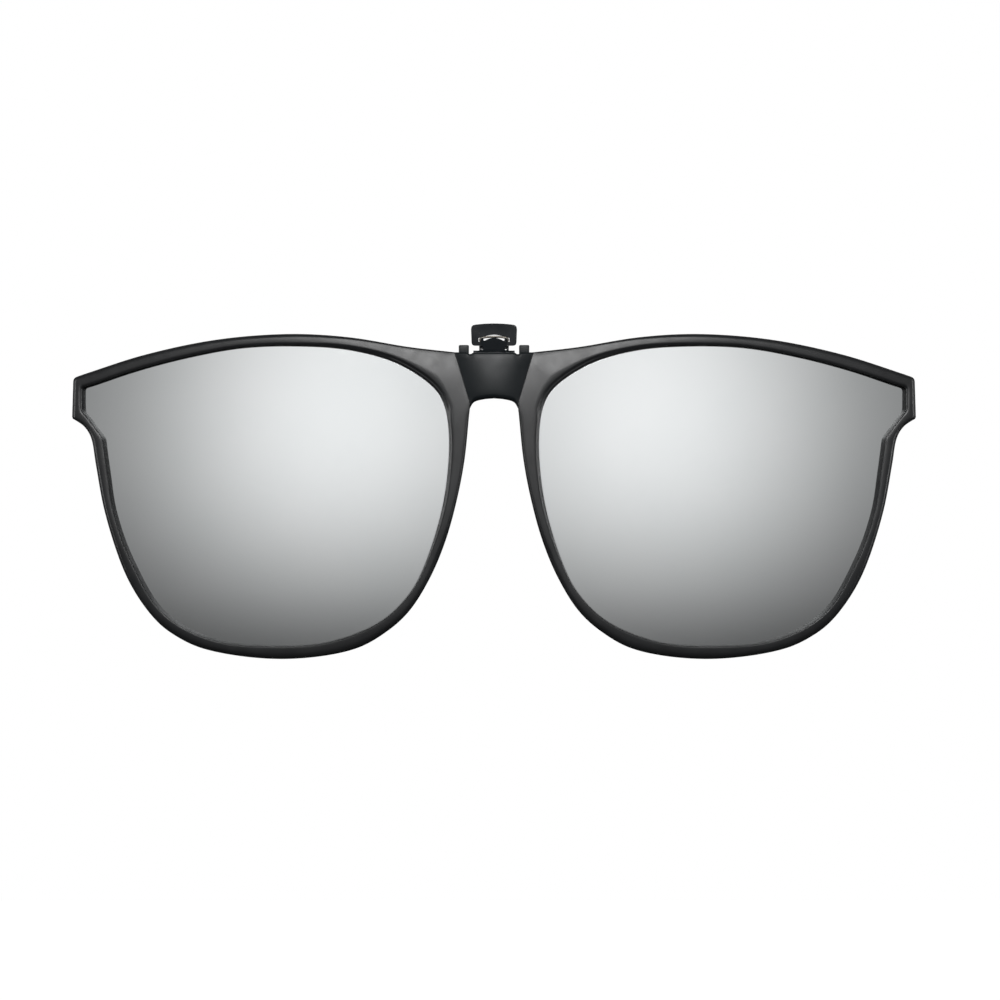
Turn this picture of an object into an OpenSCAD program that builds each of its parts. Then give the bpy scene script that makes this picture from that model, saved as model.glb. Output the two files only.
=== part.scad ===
// Flip-up clip-on sunglasses: a moulded front with two mirrored lenses, hung by a hinge
// from a small spring-loaded clip that grips the bridge of a pair of spectacles.
// Millimetres. +Z is up, +Y points to the wearer, +X runs along the brow.
// The origin is the centre of the grip, midway between the four pads of the closed clip.

/* [Front] */
// Half of the overall width of the front
half_width = 72.5; // [70:0.5:75]
// Radius of the spherical front surface
base_radius = 265; // [240:5:320]
// Thickness of the moulded front
front_depth = 3.4; // [3.2:0.1:3.8]

/* [Lenses] */
// Thickness of a lens
lens_thickness = 1.1; // [0.9:0.1:1.2]
// Depth of the lens face behind the front of the rim
lens_recess = 1.6; // [1.4:0.1:1.8]
// How far a lens reaches into the groove of its rim
groove_depth = 0.55; // [0.4:0.05:0.6]

/* [Flip hinge] */
// Diameter of the flip hinge pin
flip_pin_d = 0.9; // [0.8:0.1:1]
// Radius of the two ears that hold the pin
ear_radius = 2.3; // [2.1:0.1:2.4]
// Radius of the barrel of the clip that turns on the pin
barrel_radius = 1.35; // [1.25:0.05:1.4]

/* [Clip] */
// Distance of each pad from the centre plane
pad_spread = 9.2; // [8.8:0.1:9.6]
// Gap between the front and rear pads of the closed clip
pad_gap = 0.2; // [0.2:0.05:0.3]
// Diameter of the clamp pin
clamp_pin_d = 0.8; // [0.7:0.1:0.8]
// Diameter of the spring wire
wire_d = 0.4; // [0.3:0.05:0.4]
// Width of the finger tab
tab_width = 7.9; // [7.5:0.1:8]

/* [Hidden] */
$fn = 64;
eps = 0.01;
reach = 20;           // further than any part of the clip or the bridge, for cuts that go through
curve_steps = 5;      // straight pieces between two points of an outline
corner_steps = 3;     // straight pieces round a corner of an outline

// Places of the two hinge axes, both parallel to X, as [y, z].
flip_axis = [-4.2, 9.0];
clamp_axis = [0.55, 10.48];
press_clearance = 0.01;
running_clearance = 0.05;

// The front surface touches the plane y = front_y at height apex_z.
front_y = -9.0;
apex_z = -14.6;
lens_clearance = 0.03;

// Bridge: a wedge let in between the two wings, with a barrel-shaped face.
wedge_top = [6.7, 10.05];
wedge_bottom = [4.15, 1.6];
wedge_overlap = 0.05;
saddle_radius = 14;
crown_radius = 32;       // the face also leans back towards its top, on this radius
crown_start_z = 2.9;
bridge_back_y = -6.6;    // back of the bridge, level with the hinge
hinge_room_half_width = 6.35;
hinge_room_bottom_z = 6.0;

// Ears, barrel and bushes along X.
ear_inner_x = 4.3;
ear_outer_x = 6.05;
barrel_end_x = 3.55;
notch_x = 3.6;
notch_z = 9.75;
bush_radius = 0.78;
bush_play = 0.02;
web_half = 3;            // web that joins the barrel to the front jaw
web_height = 2;
web_end_y = -1;

// Jaws: the leg's centreline, its half width, and the side profile of each jaw.
leg_root = [2.3, 8.3];
leg_tip = [pad_spread + 0.7, -1.0];
leg_radius = 1.35;
jaw_thickness = 1.1;
pad_wall = 0.55;
jaw_inner_y = pad_gap / 2 + pad_wall;
pad_length = 5.2;

// Clamp hinge along X: central knuckle, spring coils, cheeks of the front jaw, outer cheeks
// of the rear jaw.
knuckle_half = 0.35;
cheek_inner_x = 1.45;
cheek_outer_x = 1.9;
rear_cheek_inner_x = 2.2;
rear_cheek_outer_x = 2.55;
knuckle_radius = 0.92;
rear_cheek_radius = 0.75;
cheek_arm = 2.05;
rear_cheek_arm = 1.5;

// Finger tab of the rear jaw, as it projects on the front view.
tab_bottom_z = 11.2;
tab_top_z = 14.85;
tab_crown = 0.2;
tab_corner = 0.8;
window_half = 2.65;
window_bottom_z = 11.9;
window_top_z = 13.1;

// Spring: a coil on each side of the knuckle, joined by a bail.
coil_radius = clamp_pin_d / 2 + 0.12 + wire_d / 2;
coil_turns = 1.5;
coil_outer_x = 1.22;
coil_pitch = wire_d + 0.02;
coil_steps = 16;      // rings in one turn
wire_sides = 8;

// ---------------------------------------------------------------- curves

function knot(t, a, b) = t + max(sqrt(norm(b - a)), eps);
function mix2(a, b, ta, tb, t) = a * ((tb - t) / (tb - ta)) + b * ((t - ta) / (tb - ta));

// A point of the centripetal spline from b to c, with neighbours a and d.
function spline_at(a, b, c, d, u) =
    let (t1 = knot(0, a, b), t2 = knot(t1, b, c), t3 = knot(t2, c, d), t = t1 + u * (t2 - t1))
    let (p = mix2(a, b, 0, t1, t), q = mix2(b, c, t1, t2, t), r = mix2(c, d, t2, t3, t))
    mix2(mix2(p, q, 0, t2, t), mix2(q, r, t1, t3, t), t1, t2, t);

// A smooth open curve through the points, without its last point.
function spline(p, steps = curve_steps) =
    let (n = len(p), all = concat([2 * p[0] - p[1]], p, [2 * p[n - 1] - p[n - 2]]))
    [for (i = [0 : n - 2]) for (k = [0 : steps - 1])
        spline_at(all[i], all[i + 1], all[i + 2], all[i + 3], k / steps)];

// A rounded corner at c, between the points a and b that lead to it and away from it.
function corner(a, c, b, r) =
    let (p = c + r * (a - c) / norm(a - c), q = c + r * (b - c) / norm(b - c))
    [for (k = [0 : corner_steps]) let (u = k / corner_steps)
        (1 - u) * (1 - u) * p + 2 * u * (1 - u) * c + u * u * q];

function mirrored(p) = [for (i = [len(p) - 1 : -1 : 0]) [-p[i][0], p[i][1]]];
function unit(v) = v / norm(v);
function left_of(v) = [-v[1], v[0]];

// A closed outline moved outwards by d; the outline runs clockwise.
function grown(p, d) =
    let (n = len(p))
    [for (i = [0 : n - 1])
        let (m = left_of(unit(p[i] - p[(i + n - 1) % n])), o = left_of(unit(p[(i + 1) % n] - p[i])))
        p[i] + d * (m + o) / (1 + m * o)];

// ---------------------------------------------------------------- outlines of the front, as [x, z]

width_scale = half_width / 72.5;
function widened(p) = [for (q = p) [q[0] * width_scale, q[1]]];

brow = [[6.7, 10.05], [14.5, 10.95], [25, 12.65], [35, 13.2], [47.5, 12.25], [60, 9.65], [71.3, 6.05]];
end_top = [72.3, 5.65];
end_bottom = [72.5, -1.3];
side = [[71.9, -1.6], [70.6, -2.5], [69.7, -3.6], [69.1, -5], [68.4, -9.2], [66.85, -17.4],
    [63.75, -27], [61.25, -31.8], [58.2, -35.8], [55.5, -38.1], [50, -40.8], [36.5, -42.6],
    [24, -40.9], [18.3, -37.8], [14.5, -34.3], [11, -28.7], [8.35, -22.4], [6.35, -15.2],
    [5.05, -8.4], [4.25, -0.6]];
arch = [[4.1, 0.4], [3.45, 1.45], [1.8, 1.95], [0, 2.13]];

half_outline = concat(
    spline(brow),
    corner(brow[6], end_top, end_bottom, 0.6),
    corner(end_top, end_bottom, side[0], 0.25),
    spline(concat(side, arch))
);
front_outline = widened(concat([[0, 10.05]], half_outline, [[0, 2.13]], mirrored(half_outline)));

// Visible edge of the lens, clockwise from the upper outer corner.
opening_end_top = [70.75, 4];
opening_end_bottom = [70.75, 0];
opening_side = [[67.35, -4.6], [66.6, -10.2], [65.45, -17.4], [62.4, -25.9], [56.9, -34.8],
    [48.4, -39.4], [37.5, -40.5], [28, -39.7], [19.4, -36.2], [14.75, -31.8], [12.2, -27.3],
    [8.7, -15.9], [7.7, -4.6], [8.6, 1.2], [10.4, 4.1], [16.5, 8.15], [24.5, 10.5],
    [33.5, 11.25], [43.5, 10.95], [53.5, 9.15], [62, 6.9], [69.3, 4.45]];
lens_opening = widened(concat(
    corner(opening_side[len(opening_side) - 1], opening_end_top, opening_end_bottom, 0.4),
    corner(opening_end_top, opening_end_bottom, opening_side[0], 0.4),
    spline(opening_side, 4)
));

// ---------------------------------------------------------------- helpers

// Extrudes an outline drawn in X and Z along Y, from y0 to y1.
module along_y(y0, y1) {
    translate([0, y1, 0]) rotate([90, 0, 0]) linear_extrude(height = y1 - y0) children();
}

// Extrudes an outline drawn in Y and Z along X, from x0 to x1.
module along_x(x0, x1) {
    translate([x0, 0, 0]) rotate([90, 0, 90]) linear_extrude(height = x1 - x0) children();
}

module x_cylinder(axis, r, x0, x1) {
    translate([x0, axis[0], axis[1]]) rotate([0, 90, 0]) cylinder(r = r, h = x1 - x0);
}

module both_sides() {
    children();
    mirror([1, 0, 0]) children();
}

// A spherical shell concentric with the front surface, between two depths behind it.
module base_shell(outer_depth, inner_depth) {
    translate([0, front_y + base_radius, apex_z]) difference() {
        sphere(r = base_radius - outer_depth, $fn = 200);
        sphere(r = base_radius - inner_depth, $fn = 200);
    }
}

// ---------------------------------------------------------------- front and lenses

module wedge(grow = 0) {
    low = wedge_bottom[0] + grow;
    high = wedge_top[0] + grow;
    edge = [
        [low, wedge_bottom[1] - 2],
        [low, wedge_bottom[1]],
        [high, wedge_top[1]],
        [high, wedge_top[1] + 1]
    ];
    polygon(concat(edge, mirrored(edge)));
}

// The two rims and the wings of the bridge, with the wedge cut out.
module rims() {
    difference() {
        intersection() {
            along_y(-reach, reach) difference() {
                polygon(front_outline);
                both_sides() polygon(lens_opening);
            }
            base_shell(0, front_depth);
        }
        // grooves for the lenses
        both_sides() intersection() {
            along_y(-reach, reach) polygon(grown(lens_opening, groove_depth + lens_clearance));
            base_shell(lens_recess - lens_clearance, lens_recess + lens_thickness + lens_clearance);
        }
        along_y(-reach, bridge_back_y) wedge();
        translate([-hinge_room_half_width, bridge_back_y, hinge_room_bottom_z])
            cube([2 * hinge_room_half_width, reach, reach]);
    }
}

// The middle part of the bridge; its top edge is notched beside the ears.
module bridge() {
    intersection() {
        along_y(-reach, bridge_back_y + wedge_overlap) intersection() {
            polygon(front_outline);
            wedge(wedge_overlap);
            union() {
                translate([-notch_x, 0]) square([2 * notch_x, reach]);
                translate([-reach, 0]) square([2 * reach, notch_z]);
                both_sides() translate([ear_inner_x, 0]) square(reach);
            }
        }
        translate([0, front_y + saddle_radius, -reach])
            cylinder(r = saddle_radius, h = 2 * reach, $fn = 200);
        union() {
            x_cylinder([front_y + crown_radius, crown_start_z], crown_radius, -reach, reach);
            translate([-reach, front_y, -reach]) cube([2 * reach, 2 * reach, reach + crown_start_z]);
        }
    }
}

module ear() {
    x_cylinder(flip_axis, ear_radius, ear_inner_x, ear_outer_x);
    translate([ear_inner_x, bridge_back_y, flip_axis[1] - ear_radius])
        cube([ear_outer_x - ear_inner_x, flip_axis[0] - bridge_back_y, 2 * ear_radius]);
}

module frame_front() color([0.09, 0.09, 0.10]) difference() {
    union() {
        rims();
        bridge();
        both_sides() ear();
    }
    x_cylinder(flip_axis, flip_pin_d / 2 + press_clearance, -hinge_room_half_width, hinge_room_half_width);
}

module lens() color([0.75, 0.77, 0.78]) intersection() {
    along_y(-reach, reach) polygon(grown(lens_opening, groove_depth));
    base_shell(lens_recess, lens_recess + lens_thickness);
}

module lens_right() lens();
module lens_left() mirror([1, 0, 0]) lens();

// ---------------------------------------------------------------- flip hinge

module flip_hinge_pin() color([0.7, 0.7, 0.72])
    x_cylinder(flip_axis, flip_pin_d / 2, -ear_outer_x, ear_outer_x);

module hinge_bush(x0) color([0.85, 0.85, 0.8]) difference() {
    x_cylinder(flip_axis, bush_radius, x0, x0 + ear_inner_x - barrel_end_x - 2 * bush_play);
    x_cylinder(flip_axis, flip_pin_d / 2 + running_clearance, -reach, reach);
}

module hinge_bush_right() hinge_bush(barrel_end_x + bush_play);
module hinge_bush_left() hinge_bush(-ear_inner_x + bush_play);

// ---------------------------------------------------------------- jaws

// One leg of a jaw in the front view.
module leg_outline(grow = 0) {
    hull() {
        translate(leg_root) circle(r = leg_radius + grow, $fn = 32);
        translate(leg_tip) circle(r = leg_radius + grow, $fn = 32);
    }
}

module legs_outline() {
    both_sides() leg_outline();
    polygon([[-3.2, 9.6], [3.2, 9.6], [2.2, 6.2], [0, 5.4], [-2.2, 6.2]]);
}

// Neck and thumb rest of the front jaw, with a crowned top and two horns that keep the bail in place.
module thumb_outline() {
    polygon(concat(
        [[1.9, 9], [1.9, 10.95], [2.25, 11.4], [2.25, 12.5], [1.85, 12.5], [1.75, 12.05]],
        [for (x = [1.5 : -0.25 : -1.5]) [x, 12.55 - 0.2 * x * x]],
        [[-1.75, 12.05], [-1.85, 12.5], [-2.25, 12.5], [-2.25, 11.4], [-1.9, 10.95], [-1.9, 9]]
    ));
}

module front_profile() {
    y1 = -jaw_inner_y;
    polygon([[y1 - jaw_thickness, -5], [y1, -5], [y1, 6], [-0.9, 8], [-0.9, 11.6], [-1.1, 13],
        [-2, 13], [-2.15, 8], [y1 - jaw_thickness, 5]]);
}

module front_jaw() color([0.05, 0.055, 0.06]) difference() {
    union() {
        intersection() {
            along_y(-reach, reach) union() {
                legs_outline();
                thumb_outline();
            }
            along_x(-reach, reach) front_profile();
        }
        x_cylinder(flip_axis, barrel_radius, -barrel_end_x, barrel_end_x);
        translate([-web_half, flip_axis[0], flip_axis[1] + 0.9 - web_height])
            cube([2 * web_half, web_end_y - flip_axis[0], web_height]);
        both_sides() {
            x_cylinder(clamp_axis, knuckle_radius, cheek_inner_x, cheek_outer_x);
            translate([cheek_inner_x, clamp_axis[0] - cheek_arm, clamp_axis[1] - knuckle_radius])
                cube([cheek_outer_x - cheek_inner_x, cheek_arm, 2 * knuckle_radius]);
        }
    }
    x_cylinder(flip_axis, flip_pin_d / 2 + running_clearance, -reach, reach);
    x_cylinder(clamp_axis, clamp_pin_d / 2 + press_clearance, -reach, reach);
}

module tab_outline() {
    half = tab_width / 2;
    crown = [for (k = [-4 : 4]) [-(half - tab_corner) * k / 4, tab_top_z + tab_crown * (1 - k * k / 16)]];
    polygon(concat(
        corner([0, tab_bottom_z], [half - 0.1, tab_bottom_z], [half, tab_top_z], 0.6),
        corner([half, tab_bottom_z], [half, tab_top_z], [0, tab_top_z], tab_corner),
        [for (k = [7 : -1 : 1]) crown[8 - k]],
        corner([0, tab_top_z], [-half, tab_top_z], [-half, tab_bottom_z], tab_corner),
        corner([-half, tab_top_z], [-half + 0.1, tab_bottom_z], [0, tab_bottom_z], 0.6)
    ));
}

// Arched window of the tab, through which the spring shows.
module window_outline() {
    polygon(concat(
        [[-window_half, window_bottom_z]],
        [for (k = [-6 : 6]) [window_half * k / 6,
            window_top_z - 0.6 * pow(abs(k) / 6, 1.6)]],
        [[window_half, window_bottom_z]]
    ));
}

module rear_outline() {
    legs_outline();
    translate([-rear_cheek_outer_x, 8.8]) square([2 * rear_cheek_outer_x, 3]);
}

module rear_profile() {
    y0 = jaw_inner_y;
    polygon([[y0, -5], [y0 + jaw_thickness, -5], [y0 + jaw_thickness, 6], [2.8, 8.8], [2.85, 11.3],
        [4.9, 15.6], [3.8, 15.6], [1.75, 11.3], [1.65, 9.2], [y0, 6.8]]);
}

module rear_jaw() color([0.05, 0.055, 0.06]) difference() {
    union() {
        intersection() {
            along_y(-reach, reach) union() {
                rear_outline();
                tab_outline();
            }
            along_x(-reach, reach) rear_profile();
        }
        x_cylinder(clamp_axis, knuckle_radius, -knuckle_half, knuckle_half);
        translate([-knuckle_half, clamp_axis[0], clamp_axis[1] - knuckle_radius])
            cube([2 * knuckle_half, rear_cheek_arm, 2 * knuckle_radius]);
        both_sides() {
            x_cylinder(clamp_axis, rear_cheek_radius, rear_cheek_inner_x, rear_cheek_outer_x);
            translate([rear_cheek_inner_x, clamp_axis[0], clamp_axis[1] - rear_cheek_radius])
                cube([rear_cheek_outer_x - rear_cheek_inner_x, rear_cheek_arm, 2 * rear_cheek_radius]);
        }
    }
    along_y(-reach, reach) window_outline();
    x_cylinder(clamp_axis, clamp_pin_d / 2 + running_clearance, -reach, reach);
}

module clamp_pin() color([0.8, 0.8, 0.82])
    x_cylinder(clamp_axis, clamp_pin_d / 2, -rear_cheek_outer_x, rear_cheek_outer_x);

// A soft sleeve on the end of a leg of the front jaw, at +X.
module pad() {
    direction = unit(leg_tip - leg_root);
    turn = atan2(direction[1], direction[0]);
    outer_y = jaw_thickness + 2 * pad_wall;
    difference() {
        along_y(-pad_gap / 2 - outer_y, -pad_gap / 2) intersection() {
            leg_outline(pad_wall);
            translate(leg_tip) rotate(turn)
                translate([leg_radius + pad_wall - pad_length, -reach]) square(2 * reach);
        }
        along_y(-jaw_inner_y - jaw_thickness - eps, -jaw_inner_y + eps) leg_outline(eps);
    }
}

module silicone() color([0.55, 0.56, 0.57]) children();
module front_pad_right() silicone() pad();
module front_pad_left() silicone() mirror([1, 0, 0]) pad();
module rear_pad_right() silicone() mirror([0, 1, 0]) pad();
module rear_pad_left() silicone() mirror([1, 0, 0]) mirror([0, 1, 0]) pad();

// ---------------------------------------------------------------- spring

// Centreline of the right half, from the middle of the bail to the end of the tail.
bail_y = -0.9 + wire_d / 2 + 0.06;
bail_points = [[0, bail_y, 12.73], [0.9, bail_y, 12.71], [1.6, bail_y, 12.63], [2.15, bail_y, 12.5],
    [2.4, bail_y, 12.25], [2.3, bail_y, 12], [1.95, bail_y, 11.84], [1.55, bail_y, 11.76],
    [coil_outer_x, bail_y + 0.1, 11.5], [coil_outer_x, -0.35, 11.2],
    [coil_outer_x, clamp_axis[0] - coil_radius, 10.9]];
coil_points = [for (k = [0 : coil_steps * coil_turns])
    let (a = 180 + 360 * k / coil_steps, x = coil_outer_x - coil_pitch * k / coil_steps)
    [x, clamp_axis[0] + coil_radius * cos(a), clamp_axis[1] + coil_radius * sin(a)]];
tail_x = coil_outer_x - coil_pitch * coil_turns;
tail_points = [[tail_x, 1.28, 10.9], [tail_x, 1.36, 11.3], [tail_x, 1.46, 11.65]];
half_wire = concat(bail_points, coil_points, tail_points);
wire_path = concat(
    [for (i = [len(half_wire) - 1 : -1 : 1]) [-half_wire[i][0], half_wire[i][1], half_wire[i][2]]],
    half_wire
);

// A round tube swept along a path, with one ring at each point.
function ring_normal(p, i, previous) =
    let (d = unit(p[min(i + 1, len(p) - 1)] - p[max(i - 1, 0)])) unit(previous - (previous * d) * d);
function normals(p, i, n) = i == len(p) ? [] :
    let (m = ring_normal(p, i, n)) concat([m], normals(p, i + 1, m));

module tube(p, r, sides) {
    n = normals(p, 0, [1, 0, 0]);
    points = [for (i = [0 : len(p) - 1])
        let (d = unit(p[min(i + 1, len(p) - 1)] - p[max(i - 1, 0)]), b = cross(d, n[i]))
        for (k = [0 : sides - 1]) let (a = 360 * k / sides) p[i] + r * (cos(a) * n[i] + sin(a) * b)];
    last = (len(p) - 1) * sides;
    walls = [for (i = [0 : len(p) - 2]) for (k = [0 : sides - 1])
        let (a = i * sides + k, b = i * sides + (k + 1) % sides)
        [a, a + sides, b + sides, b]];
    polyhedron(points, concat(walls,
        [[for (k = [0 : sides - 1]) k], [for (k = [sides - 1 : -1 : 0]) last + k]]));
}

module clamp_spring() color([0.75, 0.74, 0.7]) tube(wire_path, wire_d / 2, wire_sides);

// ---------------------------------------------------------------- nodes

frame_front();
lens_left();
lens_right();
flip_hinge_pin();
hinge_bush_left();
hinge_bush_right();
front_jaw();
rear_jaw();
clamp_pin();
clamp_spring();
front_pad_left();
front_pad_right();
rear_pad_left();
rear_pad_right();
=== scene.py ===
"""Flip-up clip-on sunglasses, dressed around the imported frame.

The front faces -Y, +Y is the wearer's side, +Z is up. Shapes are worked out in millimetres and
turned into metres when a mesh is made. The moulded front, the lenses and the spring get new
meshes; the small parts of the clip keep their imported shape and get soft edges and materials.
"""
import math

import bmesh
import bpy
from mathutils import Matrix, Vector

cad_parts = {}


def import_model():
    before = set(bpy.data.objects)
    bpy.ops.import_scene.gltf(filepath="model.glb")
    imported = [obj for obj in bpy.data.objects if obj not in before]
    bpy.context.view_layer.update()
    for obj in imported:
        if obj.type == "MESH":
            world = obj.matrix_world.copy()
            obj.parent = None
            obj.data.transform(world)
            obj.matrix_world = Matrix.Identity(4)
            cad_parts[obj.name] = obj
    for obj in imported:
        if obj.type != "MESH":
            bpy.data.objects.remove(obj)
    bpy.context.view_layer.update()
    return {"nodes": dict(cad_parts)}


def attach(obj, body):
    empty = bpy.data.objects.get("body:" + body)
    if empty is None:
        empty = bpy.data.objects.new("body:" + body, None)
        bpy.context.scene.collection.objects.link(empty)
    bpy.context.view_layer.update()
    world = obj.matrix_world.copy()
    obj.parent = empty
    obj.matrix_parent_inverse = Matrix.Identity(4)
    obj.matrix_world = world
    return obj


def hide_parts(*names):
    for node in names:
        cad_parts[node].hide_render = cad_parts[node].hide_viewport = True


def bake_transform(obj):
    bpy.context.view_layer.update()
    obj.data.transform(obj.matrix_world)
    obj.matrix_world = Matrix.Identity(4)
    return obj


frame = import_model()

MM = 0.001

# The spherical front surface, in millimetres.
BASE_RADIUS = 265.0
FRONT_Y = -9.0
APEX_Z = -14.6
FRONT_DEPTH = 3.4

LENS_RECESS = 1.6
LENS_THICKNESS = 1.1
GROOVE_DEPTH = 0.55
GROOVE_PLAY = 0.03
EDGE_WIDTH = 0.2  # ground band round the visible face of a lens
EDGE_DROP = 0.002
LENS_CHAMFER = 0.06
LENS_CENTRE = (37.5, -14.0)  # the rings of a lens shrink towards this point
LENS_RINGS = 26
LENS_COLUMNS = 320

FLIP_AXIS = (-4.2, 9.0)
FLIP_BORE_RADIUS = 0.46
EAR_RADIUS = 2.3
EAR_INNER_X = 4.3
EAR_OUTER_X = 6.05

WEDGE_TOP = (6.7, 10.05)
WEDGE_BOTTOM = (4.15, 1.6)
SADDLE_RADIUS = 14.0
CROWN_RADIUS = 32.0
CROWN_START_Z = 2.9
BRIDGE_BACK_Y = -6.6
HINGE_ROOM_HALF_WIDTH = 6.35
HINGE_ROOM_BOTTOM_Z = 6.0
NOTCH = (3.6, 4.3, 0.3)  # from x, to x, depth
WALL_SLOPE = 0.45  # a face of the moulding whose normal has less than this along Y is a wall; walls get a darker black as painted shade

CLAMP_AXIS = (0.55, 10.48)
WIRE_RADIUS = 0.2


# ---------------------------------------------------------------- curves

def spline(points, steps):
    """Centripetal Catmull-Rom curve through the points, without its last point."""
    pts = [Vector(p) for p in points]
    pts = [2 * pts[0] - pts[1]] + pts + [2 * pts[-1] - pts[-2]]
    out = []
    for i in range(1, len(pts) - 2):
        quad = pts[i - 1:i + 3]
        t = [0.0]
        for a, b in zip(quad, quad[1:]):
            t.append(t[-1] + math.sqrt((b - a).length))
        for k in range(steps):
            u = t[1] + (t[2] - t[1]) * k / steps
            near = [between(quad[j], quad[j + 1], t[j], t[j + 1], u) for j in range(3)]
            wide = [between(near[j], near[j + 1], t[j], t[j + 2], u) for j in range(2)]
            out.append(between(wide[0], wide[1], t[1], t[2], u))
    return out


def between(a, b, ta, tb, u):
    return a * ((tb - u) / (tb - ta)) + b * ((u - ta) / (tb - ta))


def corner(a, c, b, r, steps=6):
    """Rounded corner at c, between the points a and b that lead to it and away from it."""
    a, c, b = Vector(a), Vector(c), Vector(b)
    p = c + r * (a - c).normalized()
    q = c + r * (b - c).normalized()
    places = [k / steps for k in range(steps + 1)]
    return [(1 - u) ** 2 * p + 2 * u * (1 - u) * c + u * u * q for u in places]


def resampled(loop, count):
    """The closed loop as count points at equal distances along it."""
    walk = Loop(loop)
    return [walk.at(walk.length * i / count) for i in range(count)]


class Loop:
    """A closed polyline that can be read by distance along it."""

    def __init__(self, points):
        self.points = [Vector(p) for p in points]
        self.start = [0.0]
        for a, b in zip(self.points, self.points[1:] + self.points[:1]):
            self.start.append(self.start[-1] + (b - a).length)
        self.length = self.start[-1]

    def at(self, s):
        s %= self.length
        low, high = 0, len(self.points)
        while high - low > 1:
            mid = (low + high) // 2
            if self.start[mid] <= s:
                low = mid
            else:
                high = mid
        a = self.points[low]
        b = self.points[(low + 1) % len(self.points)]
        span = self.start[low + 1] - self.start[low]
        return a.lerp(b, (s - self.start[low]) / span if span else 0.0)

    def nearest(self, p):
        """Distance along the loop of its nearest point to p."""
        best = (1e9, 0.0)
        n = len(self.points)
        for i, a in enumerate(self.points):
            d = self.points[(i + 1) % n] - a
            u = max(0.0, min(1.0, (p - a).dot(d) / d.length_squared)) if d.length_squared else 0.0
            best = min(best, ((a + u * d - p).length, self.start[i] + u * d.length))
        return best[1]


def sphere_y(x, z, depth):
    """Y of the shell that lies depth behind the front surface."""
    r = BASE_RADIUS - depth
    return FRONT_Y + BASE_RADIUS - math.sqrt(r * r - x * x - (z - APEX_Z) ** 2)


def smoothstep(a, b, v):
    u = max(0.0, min(1.0, (v - a) / (b - a)))
    return u * u * (3 - 2 * u)


# ---------------------------------------------------------------- outlines, as (x, z) of the right half

BROW = [(6.7, 10.05), (14.5, 10.95), (25, 12.65), (35, 13.2), (47.5, 12.25), (60, 9.65), (71.3, 6.05)]
END_TOP = (72.3, 5.65)
END_BOTTOM = (72.5, -1.3)
SIDE = [(71.9, -1.6), (70.6, -2.5), (69.7, -3.6), (69.1, -5), (68.4, -9.2), (66.85, -17.4),
        (63.75, -27), (61.25, -31.8), (58.2, -35.8), (55.5, -38.1), (50, -40.8), (36.5, -42.6),
        (24, -40.9), (18.3, -37.8), (14.5, -34.3), (11, -28.7), (8.35, -22.4), (6.35, -15.2),
        (5.05, -8.4), (4.25, -0.6), (4.15, 0.2)]
ARCH = [(4.15, 0.2), (4.05, 0.55), (3.45, 1.45), (1.8, 1.95), (0, 2.13)]

OPENING_TOP = (70.75, 4)
OPENING_BOTTOM = (70.75, 0)
OPENING = [(67.35, -4.6), (66.6, -10.2), (65.45, -17.4), (62.4, -25.9), (56.9, -34.8),
           (48.4, -39.4), (37.5, -40.5), (28, -39.7), (19.4, -36.2), (14.75, -31.8), (12.2, -27.3),
           (8.7, -15.9), (7.7, -4.6), (8.6, 1.2), (10.4, 4.1), (16.5, 8.15), (24.5, 10.5),
           (33.5, 11.25), (43.5, 10.95), (53.5, 9.15), (62, 6.9), (69.3, 4.45)]


def rim_outline():
    return (spline(BROW, 14) + corner(BROW[-1], END_TOP, END_BOTTOM, 0.6)
            + corner(END_TOP, END_BOTTOM, SIDE[0], 0.25) + spline(SIDE, 10) + [Vector(SIDE[-1])]
            + [Vector(WEDGE_BOTTOM)])


def lens_opening():
    return (corner(OPENING[-1], OPENING_TOP, OPENING_BOTTOM, 0.4)
            + corner(OPENING_TOP, OPENING_BOTTOM, OPENING[0], 0.4) + spline(OPENING, 10))


def arch_z(x):
    """Height of the arch over the nose at x."""
    x = min(abs(x), ARCH[0][0] - 0.01)
    curve = spline(ARCH, 12) + [Vector(ARCH[-1])]
    for a, b in zip(curve, curve[1:]):
        if b[0] <= x <= a[0]:
            return a[1] + (b[1] - a[1]) * (a[0] - x) / (a[0] - b[0])
    return curve[0][1]


# ---------------------------------------------------------------- mesh helpers

def make_object(name, verts, faces, materials, face_slots=None, sharp=math.radians(40)):
    """A new object from millimetre vertices, smooth except across sharp edges."""
    mesh = bpy.data.meshes.new(name)
    mesh.from_pydata([tuple(MM * c for c in v) for v in verts], [], faces)
    for m in materials:
        mesh.materials.append(m)
    for i, poly in enumerate(mesh.polygons):
        poly.use_smooth = True
        poly.material_index = face_slots[i] if face_slots else 0
    bm = bmesh.new()
    bm.from_mesh(mesh)
    bmesh.ops.recalc_face_normals(bm, faces=bm.faces)
    bm.to_mesh(mesh)
    bm.free()
    mesh.set_sharp_from_angle(angle=sharp)
    obj = bpy.data.objects.new(name, mesh)
    bpy.context.scene.collection.objects.link(obj)
    return obj


def tube_faces(rows, columns, close_rows=True, caps=False):
    """Quads of a grid whose columns wrap round; vertex index is row * columns + column."""
    faces = []
    for r in range(rows if close_rows else rows - 1):
        r1 = (r + 1) % rows
        for c in range(columns):
            c1 = (c + 1) % columns
            faces.append((r * columns + c, r1 * columns + c, r1 * columns + c1, r * columns + c1))
    if caps:
        faces.append(tuple(range(columns)))
        faces.append(tuple((rows - 1) * columns + c for c in reversed(range(columns))))
    return faces


def mirrored(verts):
    return [(-v[0], v[1], v[2]) for v in verts]


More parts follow.
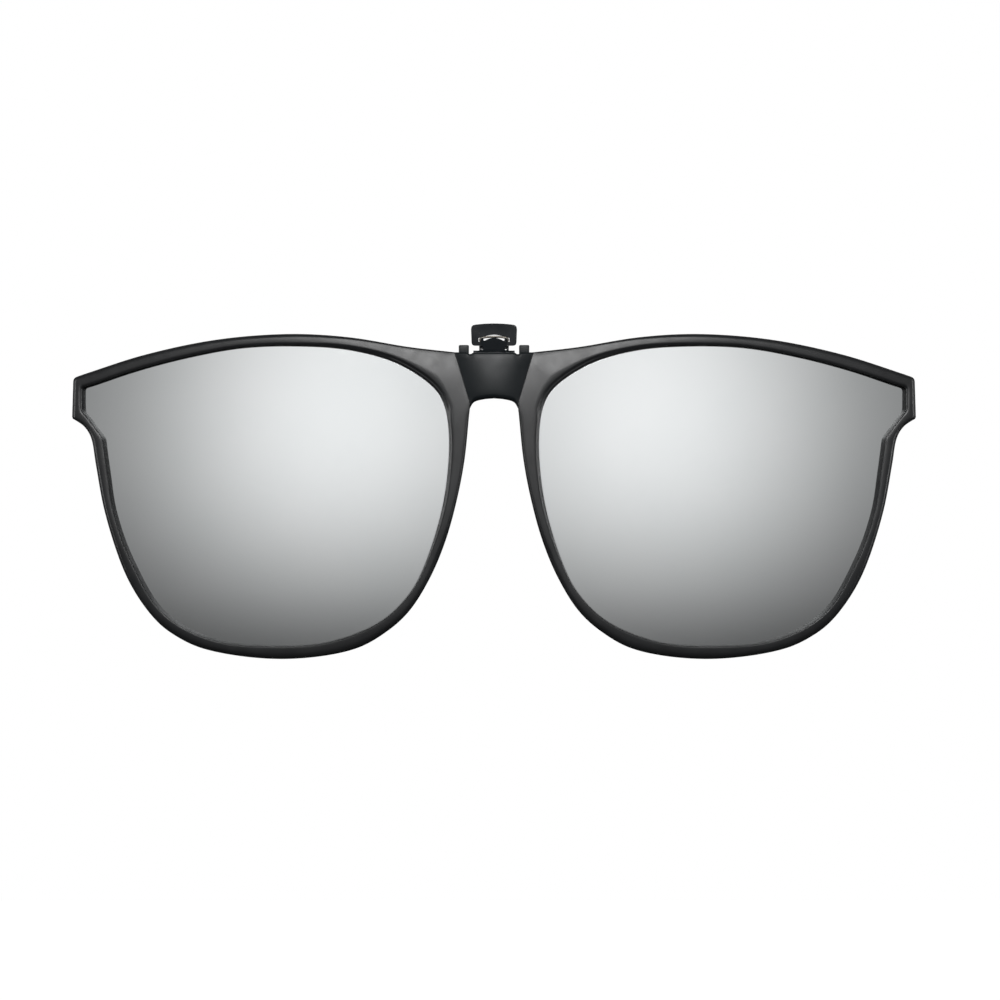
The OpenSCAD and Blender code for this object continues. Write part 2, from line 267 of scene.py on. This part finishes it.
def combine(target, other, operation):
    """Applies a boolean to target and removes other."""
    mod = target.modifiers.new("combine", "BOOLEAN")
    mod.operation = operation
    mod.solver = "EXACT"
    mod.object = other
    graph = bpy.context.evaluated_depsgraph_get()
    mesh = bpy.data.meshes.new_from_object(target.evaluated_get(graph))
    target.modifiers.clear()
    target.data = mesh
    bpy.data.objects.remove(other)


def box_object(name, low, high):
    verts = [(x, y, z) for x in (low[0], high[0]) for y in (low[1], high[1]) for z in (low[2], high[2])]
    faces = [(0, 1, 3, 2), (4, 6, 7, 5), (0, 4, 5, 1), (2, 3, 7, 6), (0, 2, 6, 4), (1, 5, 7, 3)]
    return make_object(name, verts, faces, [])


def x_rod(name, axis, radius, x0, x1, sides=48):
    ring = [(axis[0] + radius * math.cos(2 * math.pi * k / sides),
             axis[1] + radius * math.sin(2 * math.pi * k / sides)) for k in range(sides)]
    verts = [(x, y, z) for x in (x0, x1) for y, z in ring]
    return make_object(name, verts, tube_faces(2, sides, close_rows=False, caps=True), [])


# ---------------------------------------------------------------- the moulded front

# Inner bevel of the wings, as (distance, depth) for a bevel 1 wide: two steep faces and a ledge.
STEPPED_BEVEL = [(0, 0.97), (0.36, 0.55), (0.5, 0.53), (0.96, 0.02), (1, 0)]


def rim_profile(width, shape):
    """Section of the rim, from the lens outwards, as (distance from the opening, depth)."""
    inner = min(shape["inner_bevel"], 0.4 * width)
    outer = min(shape["outer_bevel"], 0.45 * width)

    def face(d):
        u = d / width
        return shape["crown"] * (2 * u - 1) ** 2 + shape["lean"] * width * u ** 1.6

    section = [(0.0, LENS_RECESS - GROOVE_PLAY)]
    for k, stepped in enumerate(STEPPED_BEVEL):
        a = math.pi / 2 * k / 4
        rounded = (1 - math.cos(a), 0.75 * (1 - math.sin(a)))
        d, depth = (inner * (r + shape["step"] * (t - r)) for r, t in zip(rounded, stepped))
        section.append((d, face(d) + depth))
    for k in range(1, 5):
        d = inner + (width - outer - inner) * k / 5
        section.append((d, face(d)))
    for k in range(7):
        a = math.pi / 2 * k / 6
        d = width - outer * (1 - math.sin(a))
        section.append((d, face(d) + shape["outer_drop"] * outer * (1 - math.cos(a))))
    back = FRONT_DEPTH  # with both of its edges rounded
    section += [(width, back - 0.45), (width - 0.13, back - 0.13), (width - 0.45, back)]
    section += [(0.45, back), (0.13, back - 0.1), (0.0, back - 0.3)]
    behind = LENS_RECESS + LENS_THICKNESS + GROOVE_PLAY
    groove = GROOVE_DEPTH + GROOVE_PLAY
    section += [(0.0, behind), (groove, behind), (groove, LENS_RECESS - GROOVE_PLAY)]
    return section


def shape_at(p):
    """Bevels, crown and backward lean of the section beside the outer outline's point p.

    The weights say how far p lies in each stretch of the rim: the end piece, the brow, the wing
    beside the bridge, the nose side, the lower half and the temple side.
    """
    x, z = p
    if z > 0 and x <= wedge_x(z) + 0.05:
        up = (z - WEDGE_BOTTOM[1]) / (WEDGE_TOP[1] - WEDGE_BOTTOM[1])
        return {"inner_bevel": 0.9, "step": 1.0, "outer_bevel": 0.16, "outer_drop": 0.8,
                "crown": 0.0, "lean": 0.02 + 0.05 * up}
    end = smoothstep(50, 66, x) * (1 - smoothstep(4.5, 6.5, z))
    brow = smoothstep(4.5, 6.5, z)
    wing = (1 - smoothstep(14, 40, x)) * smoothstep(9, 10, z)
    nose = (1 - smoothstep(5.5, 12, x)) * (1 - smoothstep(8.5, 10, z))
    low = smoothstep(-12, -36, z)
    temple = smoothstep(50, 62, x) * smoothstep(1, -3, z)
    crisp = max(low, temple)
    crowned = (1 - wing) * (1 - 0.6 * nose) * (1 - 0.5 * end) * (1 - 0.8 * low)
    return {"inner_bevel": 0.45 + 0.2 * end * (1 - crisp) + 0.45 * wing + 0.25 * nose - 0.28 * crisp,
            "step": max(wing, 0.4 * nose),
            "outer_bevel": 1.0 - 0.4 * end - 0.35 * brow * (1 - wing) - 0.7 * wing - 0.55 * nose,
            "outer_drop": 0.8 + 1.2 * max(nose, wing),
            "crown": (0.2 - 0.08 * brow) * crowned,
            "lean": 0.02 * brow + 0.075 * wing + 0.07 * low}


def wedge_x(z):
    """Half width of the sunken wedge of the bridge at height z."""
    if z <= WEDGE_BOTTOM[1]:
        return WEDGE_BOTTOM[0]
    u = (z - WEDGE_BOTTOM[1]) / (WEDGE_TOP[1] - WEDGE_BOTTOM[1])
    return WEDGE_BOTTOM[0] + u * (WEDGE_TOP[0] - WEDGE_BOTTOM[0])


def rim_verts(count=560):
    """Rings of the right rim: one section at each point of the outer outline."""
    outer = resampled(rim_outline(), count)
    inside = Loop(lens_opening())
    along = [inside.nearest(p) for p in outer]
    for i in range(1, count):
        while along[i] - along[i - 1] > inside.length / 2:
            along[i] -= inside.length
        while along[i] - along[i - 1] < -inside.length / 2:
            along[i] += inside.length
    turn = along[-1] - along[0]
    lap = inside.length if turn > 0 else -inside.length
    reach = 5
    smooth = []
    for i in range(count):
        total = 0.0
        for k in range(-reach, reach + 1):
            j = i + k
            total += along[j % count] + lap * (j // count)
        smooth.append(total / (2 * reach + 1))
    verts = []
    columns = 0
    shapes = [shape_at(p) for p in outer]
    for i, p in enumerate(outer):
        q = inside.at(smooth[i])
        across = p - q
        near = [shapes[(i + k) % count] for k in range(-3, 4)]
        shape = {key: sum(s[key] for s in near) / len(near) for key in near[0]}
        section = rim_profile(across.length, shape)
        columns = len(section)
        for distance, depth in section:
            x, z = q + across * (distance / across.length)
            verts.append((x, sphere_y(x, z, depth), z))
    return verts, count, columns


def bridge_y(x, z):
    """The barrel face of the bridge; its middle leans back towards the top."""
    barrel = SADDLE_RADIUS - math.sqrt(SADDLE_RADIUS ** 2 - x * x)
    rise = max(0.0, z - CROWN_START_Z)
    crown = CROWN_RADIUS - math.sqrt(CROWN_RADIUS ** 2 - rise * rise)
    return FRONT_Y + barrel + crown * max(0.0, 1 - (x / WEDGE_TOP[0]) ** 2)


def bridge_verts(columns=61):
    """Rings of the bridge from side to side; its face has soft upper and lower edges."""
    low_edge, high_edge, embed = 0.85, 0.4, 0.35
    verts = []
    for i in range(columns):
        s = -1 + 2 * i / (columns - 1)
        bottom = arch_z(s * (WEDGE_BOTTOM[0] + embed))
        drop = smoothstep(NOTCH[0] - 0.12, NOTCH[0] + 0.05, abs(s) * WEDGE_TOP[0])
        drop *= 1 - smoothstep(NOTCH[1] - 0.05, NOTCH[1] + 0.12, abs(s) * WEDGE_TOP[0])
        top = WEDGE_TOP[1] - NOTCH[2] * drop
        front = []
        for k in range(7):
            a = math.pi / 2 * k / 6
            front.append((bottom + low_edge * (1 - math.cos(a)), 1.1 * low_edge * (1 - math.sin(a))))
        for k in range(1, 8):
            front.append((bottom + low_edge + (top - high_edge - bottom - low_edge) * k / 8, 0.0))
        for k in range(6):
            a = math.pi / 2 * k / 5
            front.append((top - high_edge * (1 - math.sin(a)), high_edge * (1 - math.cos(a))))
        for z, sunk in front:
            x = s * (wedge_x(z) + embed)
            verts.append((x, bridge_y(x, z) + sunk, z))
        for z, y in ((top, BRIDGE_BACK_Y - 0.15), (top - 0.15, BRIDGE_BACK_Y),
                     (HINGE_ROOM_BOTTOM_Z + 0.3, BRIDGE_BACK_Y), (HINGE_ROOM_BOTTOM_Z, BRIDGE_BACK_Y + 0.3)):
            verts.append((s * (wedge_x(z) + embed), y, z))
        for z, rise in ((HINGE_ROOM_BOTTOM_Z - 0.02, 0.3), (HINGE_ROOM_BOTTOM_Z - 0.3, 0.0),
                        (bottom + 0.3, 0.0), (bottom, 0.3)):
            x = s * (wedge_x(z) + embed)
            verts.append((x, sphere_y(x, z, FRONT_DEPTH) - rise, z))
    return verts, columns, len(verts) // columns


def ear_object(name, side):
    """One hinge ear: round behind, square in front, with soft edges."""
    axis_y, axis_z = FLIP_AXIS
    root_y = BRIDGE_BACK_Y - 0.3
    outline = []
    for k in range(17):
        a = -math.pi / 2 + math.pi * k / 16
        outline.append((axis_y + EAR_RADIUS * math.cos(a), axis_z + EAR_RADIUS * math.sin(a)))
    outline += [(root_y, axis_z + EAR_RADIUS), (root_y, axis_z - EAR_RADIUS)]
    verts = [(side * x, y, z) for x in (EAR_INNER_X, EAR_OUTER_X) for y, z in outline]
    ear = make_object(name, verts, tube_faces(2, len(outline), close_rows=False, caps=True), [])
    soft = ear.modifiers.new("soft", "BEVEL")
    soft.width = 0.22 * MM
    soft.segments = 3
    soft.limit_method = "ANGLE"
    graph = bpy.context.evaluated_depsgraph_get()
    ear.data = bpy.data.meshes.new_from_object(ear.evaluated_get(graph))
    ear.modifiers.clear()
    return ear


def on_bridge(centre):
    """Whether a face with this centre, in metres, belongs to the bridge or to an ear; these faces get the
    darker bridge black as painted shade.
    """
    x, z = abs(centre[0]) / MM, centre[2] / MM
    return z > 0 and x < wedge_x(z) - 0.02


def cleaned(mesh):
    """Merges the points a boolean leaves within two microns of each other."""
    bm = bmesh.new()
    bm.from_mesh(mesh)
    bmesh.ops.remove_doubles(bm, verts=bm.verts, dist=0.000002)
    bmesh.ops.dissolve_degenerate(bm, edges=bm.edges, dist=0.000001)
    bm.to_mesh(mesh)
    bm.free()


def moulded_front(material, bridge_shade_material, wall_shade_material):
    verts, rows, columns = rim_verts()
    faces = tube_faces(rows, columns)
    front = make_object("front_moulding", verts, faces, [material])
    left = make_object("left_rim", mirrored(verts), faces, [material])
    verts, rows, columns = bridge_verts()
    bridge = make_object("bridge", verts, tube_faces(rows, columns, close_rows=False, caps=True), [])
    combine(front, bridge, "UNION")
    combine(front, left, "UNION")
    room = box_object("hinge_room", (-HINGE_ROOM_HALF_WIDTH, BRIDGE_BACK_Y, HINGE_ROOM_BOTTOM_Z),
                      (HINGE_ROOM_HALF_WIDTH, 5, 20))
    combine(front, room, "DIFFERENCE")
    for name, side in (("ear_right", 1), ("ear_left", -1)):
        combine(front, ear_object(name, side), "UNION")
    bore = x_rod("flip_bore", FLIP_AXIS, FLIP_BORE_RADIUS, -HINGE_ROOM_HALF_WIDTH, HINGE_ROOM_HALF_WIDTH)
    combine(front, bore, "DIFFERENCE")
    cleaned(front.data)
    front.data.materials.clear()
    for each in (material, bridge_shade_material, wall_shade_material):
        front.data.materials.append(each)
    for poly in front.data.polygons:
        poly.use_smooth = True
        # The bridge and the ears take a darker, bluer black: painted shade.
        if on_bridge(poly.center):
            poly.material_index = 1
        else:
            # Faces turned away from the front take the darker wall black: painted shade.
            poly.material_index = 2 if abs(poly.normal.y) < WALL_SLOPE else 0
    front.data.set_sharp_from_angle(angle=math.radians(38))
    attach(front, "front")
    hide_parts("frame_front")
    return front


# ---------------------------------------------------------------- lenses

def grown(loop, d):
    """The clockwise closed loop moved outwards by d."""
    out = []
    n = len(loop)
    for i, p in enumerate(loop):
        a = (p - loop[i - 1]).normalized()
        b = (loop[(i + 1) % n] - p).normalized()
        m = Vector((-a[1], a[0]))
        o = Vector((-b[1], b[0]))
        out.append(p + d * (m + o) / (1 + m.dot(o)))
    return out


def lens_object(name, side, front, back, edge):
    """A lens: front and back are shells of the base sphere, joined by a narrow ground edge."""
    outline = resampled(lens_opening(), LENS_COLUMNS)
    rim = grown(outline, GROOVE_DEPTH)
    inset = grown(outline, -EDGE_WIDTH)
    near = grown(outline, -EDGE_WIDTH - 0.1)
    centre = Vector(LENS_CENTRE)
    depth_front, depth_back = LENS_RECESS, LENS_RECESS + LENS_THICKNESS
    rings = []
    for k in range(1, LENS_RINGS + 1):
        rings.append(([centre.lerp(p, k / LENS_RINGS) for p in near], depth_front))
    rings += [(inset, depth_front), (outline, depth_front + EDGE_DROP)]
    rings += [(rim, depth_front + LENS_CHAMFER), (rim, depth_back - LENS_CHAMFER)]
    rings += [([centre.lerp(p, k / LENS_RINGS) for p in outline], depth_back)
              for k in range(LENS_RINGS, 0, -1)]
    verts, n = [], len(outline)
    for ring, depth in rings:
        verts += [(side * p[0], sphere_y(p[0], p[1], depth), p[1]) for p in ring]
    faces = tube_faces(len(rings), n, close_rows=False)
    slots = []
    for r in range(len(rings) - 1):
        kind = 0 if r < LENS_RINGS else 2 if r < LENS_RINGS + 3 else 1
        slots += [kind] * n
    for ring_start, depth, kind in ((0, depth_front, 0), ((len(rings) - 1) * n, depth_back, 1)):
        middle = len(verts)
        verts.append((side * centre[0], sphere_y(centre[0], centre[1], depth), centre[1]))
        for k in range(n):
            faces.append((middle, ring_start + k, ring_start + (k + 1) % n))
            slots.append(kind)
    lens = make_object(name, verts, faces, [front, back, edge], slots)
    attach(lens, "front")
    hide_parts("lens_right" if side > 0 else "lens_left")
    return lens


# ---------------------------------------------------------------- spring

def spring_object(material):
    """The double torsion spring: a bail in front, a coil on each side, a tail behind."""
    bail_y = -0.64
    coil_r = 0.4 + 0.12 + WIRE_RADIUS
    coil_x, pitch, turns, steps = 1.22, 0.42, 1.5, 28
    bail = [(0, bail_y, 12.73), (0.9, bail_y, 12.71), (1.6, bail_y, 12.63), (2.15, bail_y, 12.5),
            (2.4, bail_y, 12.25), (2.3, bail_y, 12), (1.95, bail_y, 11.84), (1.55, bail_y, 11.76),
            (coil_x, bail_y + 0.1, 11.5), (coil_x, -0.35, 11.2),
            (coil_x, CLAMP_AXIS[0] - coil_r, 10.9)]
    coil = []
    for k in range(int(steps * turns) + 1):
        a = math.pi + 2 * math.pi * k / steps
        coil.append((coil_x - pitch * k / steps, CLAMP_AXIS[0] + coil_r * math.cos(a),
                     CLAMP_AXIS[1] + coil_r * math.sin(a)))
    tail_x = coil_x - pitch * turns
    tail = [(tail_x, 1.28, 10.9), (tail_x, 1.36, 11.3), (tail_x, 1.46, 11.65)]
    half = spline(bail + coil[:1], 5) + spline(coil, 1) + spline([coil[-1]] + tail, 5) + [Vector(tail[-1])]
    path = [Vector((-p[0], p[1], p[2])) for p in reversed(half[1:])] + half
    sides = 14
    verts = []
    normal = Vector((1, 0, 0))
    for i, p in enumerate(path):
        ahead = path[min(i + 1, len(path) - 1)] - path[max(i - 1, 0)]
        ahead.normalize()
        normal = (normal - normal.dot(ahead) * ahead).normalized()
        other = ahead.cross(normal)
        for k in range(sides):
            a = 2 * math.pi * k / sides
            verts.append(p + WIRE_RADIUS * (math.cos(a) * normal + math.sin(a) * other))
    faces = tube_faces(len(path), sides, close_rows=False, caps=True)
    wire = make_object("spring_wire", verts, faces, [material], sharp=math.radians(60))
    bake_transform(wire)
    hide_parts("clamp_spring")
    return wire


# ---------------------------------------------------------------- materials

def new_material(name):
    mat = bpy.data.materials.new(name)
    mat.use_nodes = True
    nodes = mat.node_tree.nodes
    return mat, nodes, mat.node_tree.links, nodes["Principled BSDF"]


def noise(nodes, links, scale, detail=4.0):
    place = nodes.new("ShaderNodeTexCoord")
    texture = nodes.new("ShaderNodeTexNoise")
    texture.inputs["Scale"].default_value = scale
    texture.inputs["Detail"].default_value = detail
    links.new(place.outputs["Object"], texture.inputs["Vector"])
    return texture.outputs["Fac"]


def ranged(nodes, links, value, low, high):
    """value, from about 0.3 to 0.7, spread over low to high."""
    node = nodes.new("ShaderNodeMapRange")
    node.inputs["From Min"].default_value = 0.3
    node.inputs["From Max"].default_value = 0.7
    node.inputs["To Min"].default_value = low
    node.inputs["To Max"].default_value = high
    links.new(value, node.inputs["Value"])
    return node.outputs["Result"]


def two_tone(nodes, links, value, dark, light):
    ramp = nodes.new("ShaderNodeValToRGB")
    ramp.color_ramp.elements[0].position = 0.35
    ramp.color_ramp.elements[0].color = (*dark, 1)
    ramp.color_ramp.elements[1].position = 0.65
    ramp.color_ramp.elements[1].color = (*light, 1)
    links.new(value, ramp.inputs["Fac"])
    return ramp.outputs["Color"]


def bump(nodes, links, height, depth, shader):
    """Bumps whose height is given in metres."""
    node = nodes.new("ShaderNodeBump")
    node.inputs["Strength"].default_value = 1.0
    node.inputs["Distance"].default_value = depth
    links.new(height, node.inputs["Height"])
    links.new(node.outputs["Normal"], shader.inputs["Normal"])


def plastic(name, dark, light, rough, grain_scale, grain_depth, specular):
    mat, nodes, links, shader = new_material(name)
    mottling = noise(nodes, links, 180.0)
    links.new(two_tone(nodes, links, mottling, dark, light), shader.inputs["Base Color"])
    patches = noise(nodes, links, 420.0)
    links.new(ranged(nodes, links, patches, rough - 0.05, rough + 0.05), shader.inputs["Roughness"])
    shader.inputs["Specular IOR Level"].default_value = specular
    bump(nodes, links, noise(nodes, links, grain_scale, 2.0), grain_depth, shader)
    return mat


def mirror_coat():
    mat, nodes, links, shader = new_material("silver_mirror_coat")
    cloud = noise(nodes, links, 60.0, 2.0)
    links.new(two_tone(nodes, links, cloud, (0.90, 0.925, 0.93), (0.92, 0.94, 0.945)),
              shader.inputs["Base Color"])
    shader.inputs["Metallic"].default_value = 1.0
    wipe = noise(nodes, links, 900.0)
    links.new(ranged(nodes, links, wipe, 0.05, 0.09), shader.inputs["Roughness"])
    return mat


def tinted_back():
    mat, nodes, links, shader = new_material("smoke_tinted_back")
    cloud = noise(nodes, links, 60.0, 2.0)
    links.new(two_tone(nodes, links, cloud, (0.022, 0.024, 0.026), (0.03, 0.032, 0.034)),
              shader.inputs["Base Color"])
    wipe = noise(nodes, links, 900.0)
    links.new(ranged(nodes, links, wipe, 0.05, 0.10), shader.inputs["Roughness"])
    shader.inputs["Coat Weight"].default_value = 0.5
    shader.inputs["Coat Roughness"].default_value = 0.03
    return mat


def ground_edge():
    mat, nodes, links, shader = new_material("ground_lens_edge")
    cloud = noise(nodes, links, 80.0, 2.0)
    links.new(two_tone(nodes, links, cloud, (0.88, 0.90, 0.91), (0.93, 0.94, 0.95)),
              shader.inputs["Base Color"])
    shader.inputs["Metallic"].default_value = 1.0
    links.new(ranged(nodes, links, cloud, 0.13, 0.16), shader.inputs["Roughness"])
    return mat


def steel(name, dark, light, rough):
    mat, nodes, links, shader = new_material(name)
    streak = noise(nodes, links, 4000.0)
    links.new(two_tone(nodes, links, streak, dark, light), shader.inputs["Base Color"])
    shader.inputs["Metallic"].default_value = 1.0
    links.new(ranged(nodes, links, streak, rough - 0.06, rough + 0.06), shader.inputs["Roughness"])
    bump(nodes, links, streak, 0.000004, shader)
    return mat


def silicone():
    mat, nodes, links, shader = new_material("soft_silicone")
    haze = noise(nodes, links, 700.0)
    links.new(two_tone(nodes, links, haze, (0.045, 0.046, 0.048), (0.07, 0.071, 0.074)),
              shader.inputs["Base Color"])
    links.new(ranged(nodes, links, haze, 0.45, 0.6), shader.inputs["Roughness"])
    shader.inputs["Subsurface Weight"].default_value = 0.1
    shader.inputs["Subsurface Radius"].default_value = (0.001, 0.001, 0.001)
    bump(nodes, links, noise(nodes, links, 6000.0, 2.0), 0.00001, shader)
    return mat


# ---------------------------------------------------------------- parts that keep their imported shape

def dress(node, material, edge_mm, segments=3, angle=35):
    """Gives a CAD node its material and soft edges."""
    obj = frame["nodes"][node]
    obj.data.materials.clear()
    obj.data.materials.append(material)
    for poly in obj.data.polygons:
        poly.material_index = 0
    weld = obj.modifiers.new("weld", "WELD")
    weld.merge_threshold = 0.000002
    flats = obj.modifiers.new("whole_flats", "DECIMATE")
    flats.decimate_type = "DISSOLVE"
    flats.angle_limit = math.radians(0.5)
    soft = obj.modifiers.new("soft_edges", "BEVEL")
    soft.width = edge_mm * MM
    soft.segments = segments
    soft.limit_method = "ANGLE"
    soft.angle_limit = math.radians(angle)
    soft.harden_normals = True


# ---------------------------------------------------------------- stage

# In metres. The view is square on to the front, from far enough away to be nearly parallel.
CAMERA_DISTANCE = 6.0
VIEW_WIDTH = 0.17155
VIEW_CENTRE = (0.00103, -0.0153)
LIGHT_TARGET = (0, -0.005, -0.01)
FLOOR_Z = -0.13
FLOOR_RADIUS = 4.0


def camera():
    data = bpy.data.cameras.new("camera")
    data.sensor_width = 36.0
    data.lens = 36.0 * CAMERA_DISTANCE / VIEW_WIDTH
    data.clip_end = 40
    obj = bpy.data.objects.new("camera", data)
    bpy.context.scene.collection.objects.link(obj)
    obj.location = (VIEW_CENTRE[0], -CAMERA_DISTANCE - 0.008, VIEW_CENTRE[1])
    obj.rotation_euler = (math.pi / 2, 0, 0)
    bpy.context.scene.camera = obj


def softbox(name, place, width, height, watts):
    """A white rectangular light at place, turned towards the front."""
    data = bpy.data.lights.new(name, "AREA")
    data.shape = "RECTANGLE"
    data.size = width
    data.size_y = height
    data.energy = watts
    obj = bpy.data.objects.new(name, data)
    bpy.context.scene.collection.objects.link(obj)
    obj.location = place
    aim = Vector(LIGHT_TARGET) - Vector(place)
    obj.rotation_euler = aim.to_track_quat("-Z", "Y").to_euler()


def floor():
    bpy.ops.mesh.primitive_circle_add(vertices=96, radius=FLOOR_RADIUS, fill_type="NGON",
                                      location=(0, 0, FLOOR_Z))
    obj = bpy.context.object
    obj.name = "floor"
    mat, _, _, shader = new_material("pale_floor")
    shader.inputs["Base Color"].default_value = (0.93, 0.93, 0.93, 1)
    shader.inputs["Roughness"].default_value = 1.0
    shader.inputs["Specular IOR Level"].default_value = 0.0
    shader.inputs["Emission Color"].default_value = (1, 1, 1, 1)
    shader.inputs["Emission Strength"].default_value = 0.87
    obj.data.materials.append(mat)
    obj.visible_glossy = False
    obj.visible_diffuse = False


def world():
    """Soft studio surroundings: bright in front of the brow, darker below and to the sides."""
    sky = bpy.data.worlds.new("studio")
    bpy.context.scene.world = sky
    sky.use_nodes = True
    nodes, links = sky.node_tree.nodes, sky.node_tree.links
    nodes.clear()

    def math_node(operation, a, b=None):
        node = nodes.new("ShaderNodeMath")
        node.operation = operation
        for socket, value in zip(node.inputs, (a, b)):
            if isinstance(value, (int, float)):
                socket.default_value = value
            elif value is not None:
                links.new(value, socket)
        return node.outputs[0]

    def curve(value, stops):
        """A smooth grey level for value, from stops of (value in degrees, level)."""
        low, high = stops[0][0], stops[-1][0]
        unit = math_node("DIVIDE", math_node("SUBTRACT", value, low), high - low)
        ramp = nodes.new("ShaderNodeValToRGB")
        ramp.color_ramp.interpolation = "B_SPLINE"
        elements = ramp.color_ramp.elements
        while len(elements) < len(stops):
            elements.new(0.5)
        for element, (degrees, level) in zip(elements, stops):
            element.position = (degrees - low) / (high - low)
            element.color = (level, level, level, 1)
        links.new(unit, ramp.inputs["Fac"])
        return ramp.outputs["Color"]

    place = nodes.new("ShaderNodeTexCoord")
    split = nodes.new("ShaderNodeSeparateXYZ")
    links.new(place.outputs["Generated"], split.inputs[0])
    x, y, z = split.outputs
    to_degrees = math.degrees(1)
    ahead = math_node("MULTIPLY", y, -1)
    aside = math_node("MULTIPLY", math_node("ARCTAN2", math_node("ABSOLUTE", x), ahead), to_degrees)
    height = math_node("MULTIPLY", math_node("ARCSINE", z), to_degrees)
    across = curve(aside, [(0, 0.70), (4, 0.82), (8, 0.96), (12, 1.0), (16, 0.94), (20, 0.78),
                           (24, 0.58), (28, 0.39), (33, 0.26), (45, 0.24), (70, 0.32), (110, 0.45),
                           (180, 0.6)])
    upward = curve(height, [(-90, 0.10), (-30, 0.05), (-13, 0.08), (-10, 0.22), (-7, 0.40),
                            (-3, 0.68), (1, 0.90), (5, 1.0), (9, 0.98), (14, 0.88), (26, 0.6),
                            (40, 0.25), (90, 0.15)])
    level = math_node("MULTIPLY", math_node("MULTIPLY", across, upward), 0.93)
    surroundings = nodes.new("ShaderNodeBackground")
    links.new(level, surroundings.inputs["Color"])
    white = nodes.new("ShaderNodeBackground")
    white.inputs["Color"].default_value = (1, 1, 1, 1)
    path = nodes.new("ShaderNodeLightPath")
    mix = nodes.new("ShaderNodeMixShader")
    links.new(path.outputs["Is Camera Ray"], mix.inputs[0])
    links.new(surroundings.outputs[0], mix.inputs[1])
    links.new(white.outputs[0], mix.inputs[2])
    out = nodes.new("ShaderNodeOutputWorld")
    links.new(mix.outputs[0], out.inputs["Surface"])


# ---------------------------------------------------------------- the scene

camera()
bpy.context.scene.view_settings.view_transform = "Standard"

front_black = plastic("satin_black_nylon", (0.012, 0.0125, 0.0135), (0.016, 0.0168, 0.018),
                      0.34, 5200.0, 0.0000015, 0.5)
# The sunken bridge and the ears get a darker, bluer black than the rims of the same moulding: painted shade.
bridge_shade_black = plastic("bridge_shade_black", (0.008, 0.0105, 0.012), (0.011, 0.0135, 0.0155),
                       0.36, 5200.0, 0.0000015, 0.26)
# The walls of the moulding, the faces turned away from the front, get a darker black than its front: painted
# shade. They are rougher too.
wall_shade_black = plastic("wall_painted_shade_black", (0.0065, 0.0068, 0.0072), (0.0085, 0.0088, 0.0092),
                     0.6, 5200.0, 0.0000015, 0.09)
thumb_black = plastic("thumb_black", (0.008, 0.010, 0.012), (0.011, 0.0135, 0.016),
                      0.45, 3800.0, 0.000001, 0.04)
clip_black = plastic("semi_gloss_black", (0.009, 0.011, 0.013), (0.013, 0.015, 0.018),
                     0.24, 3800.0, 0.000001, 0.4)
bush_black = plastic("matte_black", (0.014, 0.014, 0.015), (0.02, 0.02, 0.021), 0.5, 5000.0, 0.000005, 0.5)
bright_steel = steel("bright_steel", (0.30, 0.30, 0.305), (0.38, 0.38, 0.385), 0.3)
spring_wire = steel("drawn_spring_wire", (0.14, 0.13, 0.115), (0.19, 0.175, 0.155), 0.34)
pad_silicone = silicone()

moulded_front(front_black, bridge_shade_black, wall_shade_black)
lens_materials = (mirror_coat(), tinted_back(), ground_edge())
lens_object("lens_right_shell", 1, *lens_materials)
lens_object("lens_left_shell", -1, *lens_materials)
spring_object(spring_wire)

dress("front_jaw", thumb_black, 0.12)
dress("rear_jaw", clip_black, 0.16)
dress("flip_hinge_pin", bright_steel, 0.08)
dress("clamp_pin", bright_steel, 0.08)
for name in ("hinge_bush_left", "hinge_bush_right"):
    dress(name, bush_black, 0.05)
for name in ("front_pad_left", "front_pad_right", "rear_pad_left", "rear_pad_right"):
    dress(name, pad_silicone, 0.25, segments=4)

softbox("brow_softbox", (0, -0.80, 0.41), 0.46, 0.36, 5.0)
softbox("left_strip", (-0.9, -0.25, 0.1), 0.15, 0.7, 2.5)
softbox("right_strip", (0.9, -0.25, 0.1), 0.15, 0.7, 2.5)
softbox("rear_softbox", (0, 0.95, 0.35), 0.6, 0.3, 3.0)
floor()
world()
